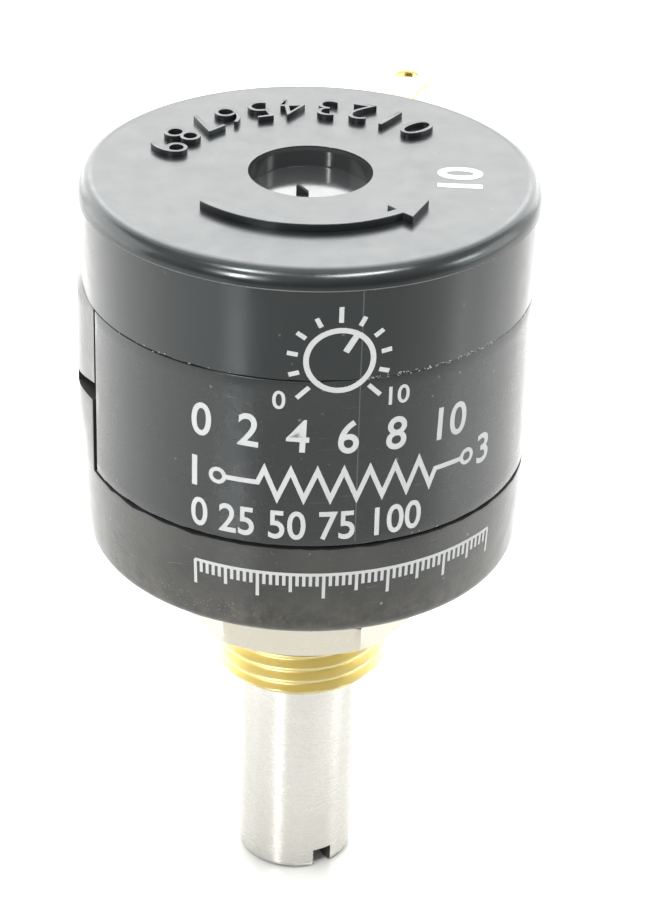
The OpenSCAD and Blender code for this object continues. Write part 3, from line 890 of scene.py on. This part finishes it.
def figures(text, height, width=None, bold=0.012):
    """Plain figures as flat vertices and faces, centred, at the given height and, where one is given, width."""
    curve = bpy.data.curves.new("figures", "FONT")
    curve.body = text
    curve.offset = bold
    curve.align_x, curve.align_y = "CENTER", "CENTER"
    curve.resolution_u = 6
    drawn = linked("figures", curve)
    mesh = worked_out(drawn)
    bpy.data.objects.remove(drawn)
    low = [min(v.co[k] for v in mesh.vertices) for k in (0, 1)]
    high = [max(v.co[k] for v in mesh.vertices) for k in (0, 1)]
    scale = height / (high[1] - low[1])
    across = width / (high[0] - low[0]) if width else scale
    middle = [(low[k] + high[k]) / 2 for k in (0, 1)]
    verts = [((v.co.x - middle[0]) * across, (v.co.y - middle[1]) * scale) for v in mesh.vertices]
    return verts, [tuple(p.vertices) for p in mesh.polygons]


def moved(drawing, x, y, turn=0.0):
    verts, faces = drawing
    c, s = math.cos(math.radians(turn)), math.sin(math.radians(turn))
    return [(x + c * u - s * v, y + s * u + c * v) for u, v in verts], faces


def joined(drawings):
    verts, faces = [], []
    for part_verts, part_faces in drawings:
        start = len(verts)
        verts += part_verts
        faces += [tuple(start + i for i in f) for f in part_faces]
    return verts, faces


def flat_mesh(drawing):
    bm = bmesh.new()
    verts = [bm.verts.new((x, y, 0)) for x, y in drawing[0]]
    for face in drawing[1]:
        bm.faces.new([verts[i] for i in face])
    bmesh.ops.remove_doubles(bm, verts=bm.verts, dist=1e-4)
    return bm


print_t = 0.015
print_depth = 0.04


def wrapped(name, drawing, radius_at, slice_w=0.4):
    """Lay a flat drawing round the case.

    Its x runs along the wall from the middle of the printed side, and its y is the height.
    """
    bm = flat_mesh(drawing)
    xs = [v.co.x for v in bm.verts]
    cuts = [((x, 0, 0), (1, 0, 0)) for x in steps(min(xs), max(xs), slice_w)[1:-1]]
    cuts += [((0, z, 0), (0, 1, 0)) for z in (seam_z, cover_z, lid_h)]
    for point, normal in cuts:
        everything = bm.verts[:] + bm.edges[:] + bm.faces[:]
        bmesh.ops.bisect_plane(bm, geom=everything, plane_co=point, plane_no=normal)
    for v in bm.verts:
        radius = radius_at(v.co.y) + print_t
        v.co = polar(radius, math.degrees(v.co.x / body_r) - 90, v.co.y)
    for face in bm.faces:
        face.normal_update()
        outward = face.calc_center_median()
        if face.normal.dot(Vector((outward.x, outward.y, 0))) < 0:
            face.normal_flip()
    bmesh.ops.solidify(bm, geom=bm.faces[:], thickness=print_depth)
    return finish_mesh(name, bm)


def case_radius(z):
    if z >= cover_z:
        return cover_outer(z)
    return body_r if z > lid_h else lid_outer(z)


def along_wall(azimuth):
    """Distance along the wall from the middle of the printed side."""
    return math.radians(azimuth) * body_r


def printed(name, drawing):
    dress(wrapped(name, drawing, case_radius), "print_white", "housing")


def figure_row(words, height, first, last, z, turn=0.0):
    """Row of figures that fills the wall between two azimuths."""
    left, right = along_wall(first), along_wall(last)
    return moved(figures(words, height, right - left), (left + right) / 2, z, turn)


# Dial sign over the upper seam
dial_x, dial_y, dial_r, dial_w = along_wall(8.5), 15.05, 1.55, 0.26
dial_start, dial_step, dial_count = 225, 27, 11
hand, hand_w = [(0.25, 0.43), (0.85, 1.45)], 0.3
mark_from, mark_to, long_mark_to, mark_w = 1.95, 2.45, 2.75, 0.22
dial_figure_h, dial_figure_y = 0.95, -2.1
dial = [strip(circle((0, 0), dial_r, 48), dial_w, True), strip(hand, hand_w)]
for k in range(dial_count):
    angle = dial_start - dial_step * k
    mark_end = long_mark_to if k % 5 == 0 else mark_to
    dial.append(strip([at(mark_from, angle), at(mark_end, angle)], mark_w))
for figure, x in (("0", -2.75), ("10", 2.9)):
    dial.append(moved(figures(figure, dial_figure_h), x, dial_figure_y))
printed("dial_print", moved(joined(dial), dial_x, dial_y))

# Row of figures, sign of a tapped resistor, row of percent figures and tick scale
tens = figure_row("0  2  4  6  8  10", height=1.75, first=-28, last=44, z=11.05, turn=-2.2)
printed("figure_row_print", tens)

sign_y, sign_from, sign_to = 8.5, along_wall(-19), along_wall(43)
peaks, peak_h, lead, sign_w = 7, 0.75, 1.6, 0.24
end_r, end_w, end_gap = 0.34, 0.2, 0.36
end_figure_h, end_figure_gap = 1.6, 1.55
zig = [(sign_from, sign_y), (sign_from + lead, sign_y)]
for k in range(2 * peaks):
    x = sign_from + lead + (sign_to - sign_from - 2 * lead) * (k + 0.5) / (2 * peaks)
    zig.append((x, sign_y + (peak_h if k % 2 == 0 else -peak_h)))
zig += [(sign_to - lead, sign_y), (sign_to, sign_y)]
sign = [strip(zig, sign_w)]
for x, figure, side in ((sign_from, "1", -1), (sign_to, "3", 1)):
    sign.append(strip(circle((x + side * end_gap, sign_y), end_r, 24), end_w, True))
    sign.append(moved(figures(figure, end_figure_h), x + side * end_figure_gap, sign_y))
printed("resistor_print", joined(sign))

percents = figure_row("0 25 50 75 100", height=1.55, first=-28, last=31, z=6.3)
printed("percent_print", percents)

tick_from, tick_to = along_wall(-27), along_wall(56)
tick_z, tick_w, tick_count = 3.55, 0.16, 50
ticks = [strip([(tick_from, tick_z), (tick_to, tick_z)], tick_w)]
for k in range(tick_count + 1):
    x = tick_from + (tick_to - tick_from) * k / tick_count
    tick_l = 1.35 if k % 10 == 0 else 1.0 if k % 5 == 0 else 0.65
    ticks.append(strip([(x, tick_z), (x, tick_z - tick_l)], tick_w))
printed("tick_scale_print", joined(ticks))


# Raised figures and arrow on the rear face
def raised(name, drawing, height, sunk=0.15, edge=0.035):
    """Flat drawing raised over the rear face, with eased upper edges."""
    bm = flat_mesh(drawing)
    bmesh.ops.dissolve_limit(bm, angle_limit=0.001, verts=bm.verts, edges=bm.edges)
    for v in bm.verts:
        v.co.z = rear_z - sunk
    lifted = bmesh.ops.extrude_face_region(bm, geom=bm.faces[:])
    for v in lifted["geom"]:
        if isinstance(v, bmesh.types.BMVert):
            v.co.z = rear_z + height
    piece = finish_mesh(name, bm, 50)
    soften(piece, edge, angle=50)
    return piece


figure_radius, figure_h, figure_rise, figure_bold = 7.15, 1.9, 0.3, -0.014
figure_from, figure_step = 44, 13.5
ring_of_figures = []
for k in range(10):
    angle = figure_from + figure_step * k
    figure = figures(str(k), figure_h, bold=figure_bold)
    ring_of_figures.append(moved(figure, *polar(figure_radius, angle, 0).xy, angle + 90))
dress(raised("raised_figures", joined(ring_of_figures), figure_rise), "top_plastic", "housing")

arrow_to = arrow_from + arrow_span
head = [(arrow_head_w / 2, -arrow_w), (0, arrow_head_l - arrow_w), (-arrow_head_w / 2, -arrow_w)]
head = moved((head, []), *polar(arrow_radius, arrow_to, 0).xy, arrow_to)[0]
neck_to = arrow_to - math.degrees(arrow_w / arrow_radius)
outline = (arc((0, 0), arrow_radius + arrow_w / 2, arrow_from, neck_to, 40) + head
           + arc((0, 0), arrow_radius - arrow_w / 2, neck_to, arrow_from, 40))
arrow = raised("turn_arrow", (outline, [tuple(range(len(outline)))]), arrow_h)
dress(arrow, "top_plastic", "housing")


def wedge_mesh(left, right, front, depth, tall, short):
    """Small wedge on the recess floor, tall at its left and low at its right."""
    sunk, level = 0.05, 0.12
    bm = bmesh.new()
    side = [(left, recess_z - sunk), (right, recess_z - sunk), (right, recess_z + short),
            (left + level, recess_z + tall), (left, recess_z + tall)]
    near = [bm.verts.new((x, front, z)) for x, z in side]
    far = [bm.verts.new((x, front + depth, z)) for x, z in side]
    bm.faces.new(near)
    bm.faces.new(far)
    for k in range(len(side)):
        n = (k + 1) % len(side)
        bm.faces.new((near[k], near[n], far[n], far[k]))
    return bm


wedge = wedge_mesh(left=-0.66, right=-0.06, front=-0.5, depth=0.3, tall=0.5, short=0.12)
pointer = finish_mesh("zero_pointer", wedge)
soften(pointer, 0.03)
dress(pointer, "black_and_painted_shade", "housing")

turns_h, turns_bold = 2.2, 0.03
turns_mark = moved(figures("10", turns_h, bold=turns_bold), x=7.15, y=-0.3, turn=88)
turns_print = raised("turns_print", turns_mark, print_t, sunk=print_depth, edge=0.004)
dress(turns_print, "print_white", "housing")


# Mould lines down the wall, painted paler as a painted highlight, and small burrs along the seams
mould_x = along_wall(13.6)
line_w, line_t = 0.06, 0.008
line_ends = (("sleeve", seam_z + 0.1, cover_z - 0.12), ("cover", cover_z + 0.12, parting_z - 0.12))
for part, low, high in line_ends:
    mould_line = wrapped(part + "_mould_line", strip([(mould_x, low), (mould_x, high)], line_w),
                         lambda z: case_radius(z) - line_t)
    dress(mould_line, "mould_highlight_grey", "housing")


def burr_mesh(groups, size):
    """Small flakes of moulding flash. Each group is a height, a first and a last angle and a count."""
    proud = 0.03
    draw = random.Random(11)
    bm = bmesh.new()
    flakes = [(height, first, last) for height, first, last, count in groups for _ in range(count)]
    for height, first, last in flakes:
        angle = draw.uniform(first, last)
        length, tall = size * draw.uniform(0.4, 1.6), size * draw.uniform(0.3, 0.7)
        radius = min(case_radius(height), cap_r - proud)
        half = math.degrees(length / 2 / radius)
        z = height + draw.uniform(-0.5, 0.5) * size
        base = ((-half, 0), (half, -tall / 3), (half / 2, tall), (-half / 2, tall / 2))
        tip = polar(radius + proud, angle + half * draw.uniform(-0.3, 0.3), z + tall / 3)
        corners = [bm.verts.new(polar(radius - proud, angle + aside, z + lift)) for aside, lift in base]
        peak = bm.verts.new(tip)
        bm.faces.new(corners)
        for a, b in zip(corners, corners[1:] + corners[:1]):
            bm.faces.new((a, b, peak))
    return bm


burr_groups = [(cover_z, 205, 285, 9), (cover_z, 232, 237, 5), (cover_z, 285, 326, 85), (cover_z, 326, 380, 16),
               (parting_z - ledge_h / 2, 210, 330, 14), (seam_z, 296, 330, 5)]
# The flakes of flash are painted pale grey: a painted highlight along the upper seam and the parting line
dress(finish_mesh("seam_burrs", burr_mesh(burr_groups, size=0.15)), "flash_and_highlight_grey", "housing")


def scratch_marks(seed, count, azimuths, heights, lengths, leans, widths):
    """Fine short scratches on the wall, as one drawing. Each range is a least and a greatest value."""
    draw = random.Random(seed)
    drawings = []
    for _ in range(count):
        x, z = along_wall(draw.uniform(*azimuths)), draw.uniform(*heights)
        length, lean = draw.uniform(*lengths), math.radians(draw.uniform(*leans))
        end = (x + length * math.cos(lean), z + length * math.sin(lean))
        bend = ((x + end[0]) / 2, (z + end[1]) / 2 + length * draw.uniform(-0.06, 0.06))
        drawings.append(strip([(x, z), bend, end], draw.uniform(*widths)))
    return joined(drawings)


scratches = scratch_marks(seed=5, count=16, azimuths=(-58, -22), heights=(0.9, 3.4), lengths=(0.25, 1.1),
                          leans=(-50, 20), widths=(0.02, 0.045))
rim_wear = scratch_marks(seed=7, count=110, azimuths=(-60, -16), heights=(0.62, 1.5), lengths=(0.03, 0.13),
                         leans=(-60, 60), widths=(0.025, 0.06))
scratch_t = 0.004
for name, marks, look in (("lid_scratches", scratches, "scratch_and_highlight_grey"), ("lid_rim_wear", rim_wear, "wear_grey")):
    dress(wrapped(name, marks, lambda z: case_radius(z) - print_t + scratch_t), look, "housing")


# Finishes of the CAD nodes that stay
for subpart in frame["record"]["subparts"]:
    kept = frame["nodes"][subpart["node"]]
    kept.data.materials.clear()
    kept.data.materials.append(looks[subpart["material_slot"]])


# Floor, light and camera
def stage_floor(near_glow, left_glow, right_glow, dark_r, bright_r, shade_left, shade_right):
    """Pale light table that glows away from the part, but not in front of it between two azimuths."""
    half_width, below_tip = 4000, 0.02
    soft_left, soft_right = 8, 45
    bm = bmesh.new()
    bmesh.ops.create_grid(bm, x_segments=1, y_segments=1, size=half_width)
    bmesh.ops.translate(bm, vec=(0, 0, tip_z - below_tip), verts=bm.verts)
    floor = finish_mesh("floor", bm)
    made, tree, shader = material("floor_paper", (0.38, 0.38, 0.37), 0.16)
    here = place(tree)
    paper = [(0.3, (0.37, 0.37, 0.36)), (0.7, (0.39, 0.39, 0.38))]
    tree.links.new(ramp(tree, grain(tree, here, 0.05, 3), paper), shader.inputs["Base Color"])
    x, y = xyz(tree, here)[:2]
    radius = math_node(tree, "SQRT", math_node(tree, "ADD", times(tree, x, x), times(tree, y, y)))
    azimuth = math_node(tree, "ARCTAN2", x, times(tree, y, -1.0))
    left_from, left_to = math.radians(shade_left - soft_left), math.radians(shade_left)
    right_from, right_to = math.radians(shade_right), math.radians(shade_right + soft_right)
    left = spread(tree, azimuth, left_from, left_to, left_glow, 0.0)
    right = spread(tree, azimuth, right_from, right_to, 0.0, right_glow)
    beyond = spread(tree, radius, dark_r, bright_r, 0.0, 1.0)
    far = times(tree, beyond, math_node(tree, "MAXIMUM", left, right))
    near = spread(tree, radius, dark_r, bright_r, near_glow, 0.0)
    tree.links.new(math_node(tree, "ADD", far, near), shader.inputs["Emission Strength"])
    shader.inputs["Emission Color"].default_value = (1, 1, 0.985, 1)
    floor.data.materials.append(made)


def soft_light(name, radiance, size, azimuth, elevation, distance=0.55):
    """Soft light that faces the part. Azimuth 0 is the printed side's, and lengths are in metres."""
    light = bpy.data.lights.new(name, "AREA")
    light.shape = "RECTANGLE"
    light.size, light.size_y = size
    light.energy = radiance * math.pi * size[0] * size[1]
    lamp = linked(name, light)
    high = math.radians(elevation)
    towards = polar(math.cos(high), azimuth - 90, math.sin(high))
    lamp.location = towards * distance
    lamp.rotation_euler = (-towards).to_track_quat("-Z", "Y").to_euler()


def surroundings(top, rear, front):
    """Room whose brightness differs overhead, low behind the part and low in front of it."""
    world = bpy.data.worlds.new("white_room")
    world.use_nodes = True
    tree = world.node_tree
    y, z = xyz(tree, node(tree, "ShaderNodeTexCoord").outputs["Generated"])[1:]
    low = spread(tree, y, -0.6, 0.6, front, rear)
    lifted = spread(tree, z, 0.25, 0.8, 0.0, 1.0)
    rise = times(tree, math_node(tree, "SUBTRACT", top, low), lifted)
    background = tree.nodes["Background"]
    background.inputs["Color"].default_value = (1.0, 1.0, 0.985, 1)
    tree.links.new(math_node(tree, "ADD", low, rise), background.inputs["Strength"])
    scene.world = world


# Name, brightness, size, azimuth and elevation of each light
lights = (
    ("rear_softbox", 6.2, (0.42, 0.35), 180, 41),
    ("rear_left_softbox", 3.4, (0.26, 0.50), -150, 26),
    ("rear_right_softbox", 3.4, (0.26, 0.50), 150, 26),
    ("rear_high_softbox", 1.4, (0.5, 0.16), 180, 70),
    ("left_softbox", 3.2, (0.5, 0.4), -108, 16),
    ("right_softbox", 2.8, (0.4, 0.3), 95, 18),
    ("left_lamp", 58.0, (0.08, 0.11), -50, 66),
    ("right_lamp", 62.0, (0.20, 0.07), 44, 66),
    ("right_low_lamp", 15.0, (0.10, 0.10), 84, 26),
    ("front_left_lamp", 225.0, (0.03, 0.12), -34.5, 31),
)
stage_floor(near_glow=0.02, left_glow=1.0, right_glow=0.84, dark_r=16, bright_r=70, shade_left=-30,
            shade_right=42)
surroundings(top=1.05, rear=2.4, front=0.42)
for light in lights:
    soft_light(*light)

# Camera of the photograph, which is 645 x 900 pixels
elevation, roll = 29.601, 1.61
distance = 148.498
shift_right, shift_up = 1.046, 3.595
focal_px, photo_h = 2902.47, 900
sensor = 36.0
rise, turn = math.radians(elevation), math.radians(roll)
back = Vector((0, -math.cos(rise), math.sin(rise)))
level = Vector((1, 0, 0))
upright = Vector((0, math.sin(rise), math.cos(rise)))
right = math.cos(turn) * level + math.sin(turn) * upright
up = -math.sin(turn) * level + math.cos(turn) * upright
lens = bpy.data.cameras.new("photo_camera")
lens.sensor_width = sensor
lens.lens = focal_px * sensor / photo_h
lens.clip_start, lens.clip_end = 0.01, 10
camera = linked("photo_camera", lens)
spot = (back * distance + right * shift_right + up * shift_up) * MM
camera.matrix_world = Matrix.Translation(spot) @ Matrix((right, up, back)).transposed().to_4x4()
scene.camera = camera
scene.view_settings.view_transform = "Standard"
scene.view_settings.look = "None"
